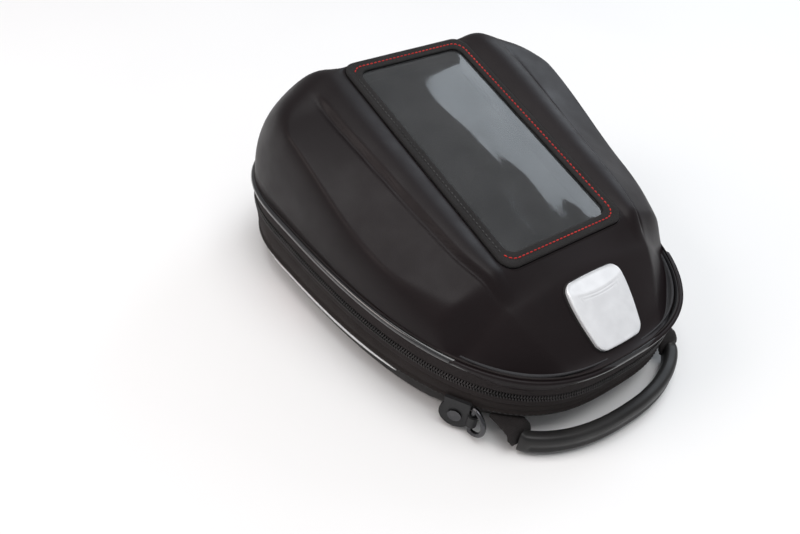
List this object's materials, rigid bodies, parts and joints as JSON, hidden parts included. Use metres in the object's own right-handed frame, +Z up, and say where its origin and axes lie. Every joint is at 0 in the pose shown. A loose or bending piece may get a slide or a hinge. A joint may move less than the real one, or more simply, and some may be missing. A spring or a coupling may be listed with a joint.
{
  "type": "motorcycle tank bag",
  "caption": "Compact hard-shell tank bag with a hinged wedge lid, smartphone window, zipped gusset, carry handle, D-rings and a quick-lock ring socket in its base.",
  "frame": {"origin": "centre of the ring socket's mouth on the underside, at the height of the surface the bag stands on", "axes": "+Z up, +Y from the handle end to the hinge end, +X to the right when looking from the handle end"},
  "size_m": [0.2378, 0.3061, 0.136],
  "materials": {
    "eva_shell": "matte moulded foam with a fine cloth face",
    "side_fabric": "woven polyester",
    "zip_tape": "woven tape",
    "zip_coil": "nylon coil",
    "lining": "knitted lining",
    "board": "cloth-covered foam board",
    "stiffener": "moulded sheet",
    "lock_plastic": "fine-textured moulding",
    "steel": "zinc plated",
    "pad_rubber": "matte rubber",
    "silver_trim": "silver film",
    "red_trim": "red film",
    "tab_rubber": "satin rubber",
    "dark_metal": "dark plated metal",
    "webbing": "woven webbing",
    "release_webbing": "red woven webbing",
    "grip_rubber": "satin moulded rubber",
    "piping": "glossy piping",
    "window_border": "satin binding with red stitching",
    "window_film": "clear flexible film",
    "badge_silver": "satin silver paint",
    "stud_metal": "plain"
  },
  "bodies": {
    "base": {"base_tray": "eva_shell", "gusset_band": "side_fabric", "zip_tape_lower": "zip_tape", "zip_coil_lower": "zip_coil", "base_lining": "lining", "floor_board": "board", "stiffener_plate": "stiffener", "lock_ring": "lock_plastic", "lock_screws": "steel", "base_pads": "pad_rubber", "silver_trims": "silver_trim", "red_trims": "red_trim", "hinge_fabric": "side_fabric", "ring_tab_left": "tab_rubber", "ring_tab_right": "tab_rubber", "tab_eyelets": "dark_metal", "handle_anchors": "webbing"},
    "latch": {"latch_bolt": "lock_plastic", "release_strap": "release_webbing", "latch_springs": "steel"},
    "lid": {"lid_shell": "eva_shell", "lid_lining": "lining", "lid_piping": "piping", "zip_tape_upper": "zip_tape", "zip_coil_upper": "zip_coil", "window_frame": "window_border", "window_film": "window_film", "phone_pocket": "lining", "badge_plate": "badge_silver", "badge_studs": "stud_metal"},
    "pocket_flap": {"pocket_flap": "lining"},
    "d_ring_left": {"d_ring_left": "dark_metal"},
    "d_ring_right": {"d_ring_right": "dark_metal"},
    "handle": {"handle_strap_left": "webbing", "handle_strap_right": "webbing", "handle_grip": "grip_rubber"},
    "slider_a": {"zip_slider_a": "dark_metal"},
    "slider_b": {"zip_slider_b": "dark_metal"},
    "pull_a": {"zip_pull_a": "dark_metal"},
    "pull_b": {"zip_pull_b": "dark_metal"}
  },
  "joints": [
    {"name": "lid_hinge", "type": "hinge", "parent": "base", "child": "lid", "pos_m": [0, 0.1452, 0.04638], "axis": [-1, 0, 0], "range_deg": [0, 100], "deforming": ["hinge_fabric"]},
    {"name": "flap_hinge", "type": "hinge", "parent": "lid", "child": "pocket_flap", "pos_m": [0, -0.0751, 0.0721], "axis": [1, 0, 0], "range_deg": [0, 100]},
    {"name": "slider_a_travel", "type": "slide", "parent": "base", "child": "slider_a", "axis": [0, 0.9994, 0.036], "range_m": [0, 0.022]},
    {"name": "slider_b_travel", "type": "slide", "parent": "base", "child": "slider_b", "axis": [0, 0.9994, 0.036], "range_m": [-0.04, 0]},
    {"name": "pull_a_swing", "type": "hinge", "parent": "slider_a", "child": "pull_a", "pos_m": [0.1189, 0.057, 0.0432], "axis": [0, -1, 0], "range_deg": [0, 165]},
    {"name": "pull_b_swing", "type": "hinge", "parent": "slider_b", "child": "pull_b", "pos_m": [0.1189, 0.042, 0.04266], "axis": [0, -1, 0], "range_deg": [0, 165]},
    {"name": "latch_travel", "type": "slide", "parent": "base", "child": "latch", "axis": [0, 1, 0], "range_m": [0, 0.005], "stiffness_N_per_m": 400, "springref_m": -0.004, "deforming": ["latch_springs"]},
    {"name": "d_ring_left_swing", "type": "hinge", "parent": "base", "child": "d_ring_left", "pos_m": [-0.08514, -0.10929, 0.013], "axis": [0, 0, -1], "range_deg": [0, 88]},
    {"name": "d_ring_right_swing", "type": "hinge", "parent": "base", "child": "d_ring_right", "pos_m": [0.08514, -0.10929, 0.013], "axis": [0, 0, 1], "range_deg": [0, 88]},
    {"name": "handle_swing", "type": "hinge", "parent": "base", "child": "handle", "pos_m": [0, -0.1265, 0.0172], "axis": [1, 0, 0], "range_deg": [-35, 40]}
  ]
}
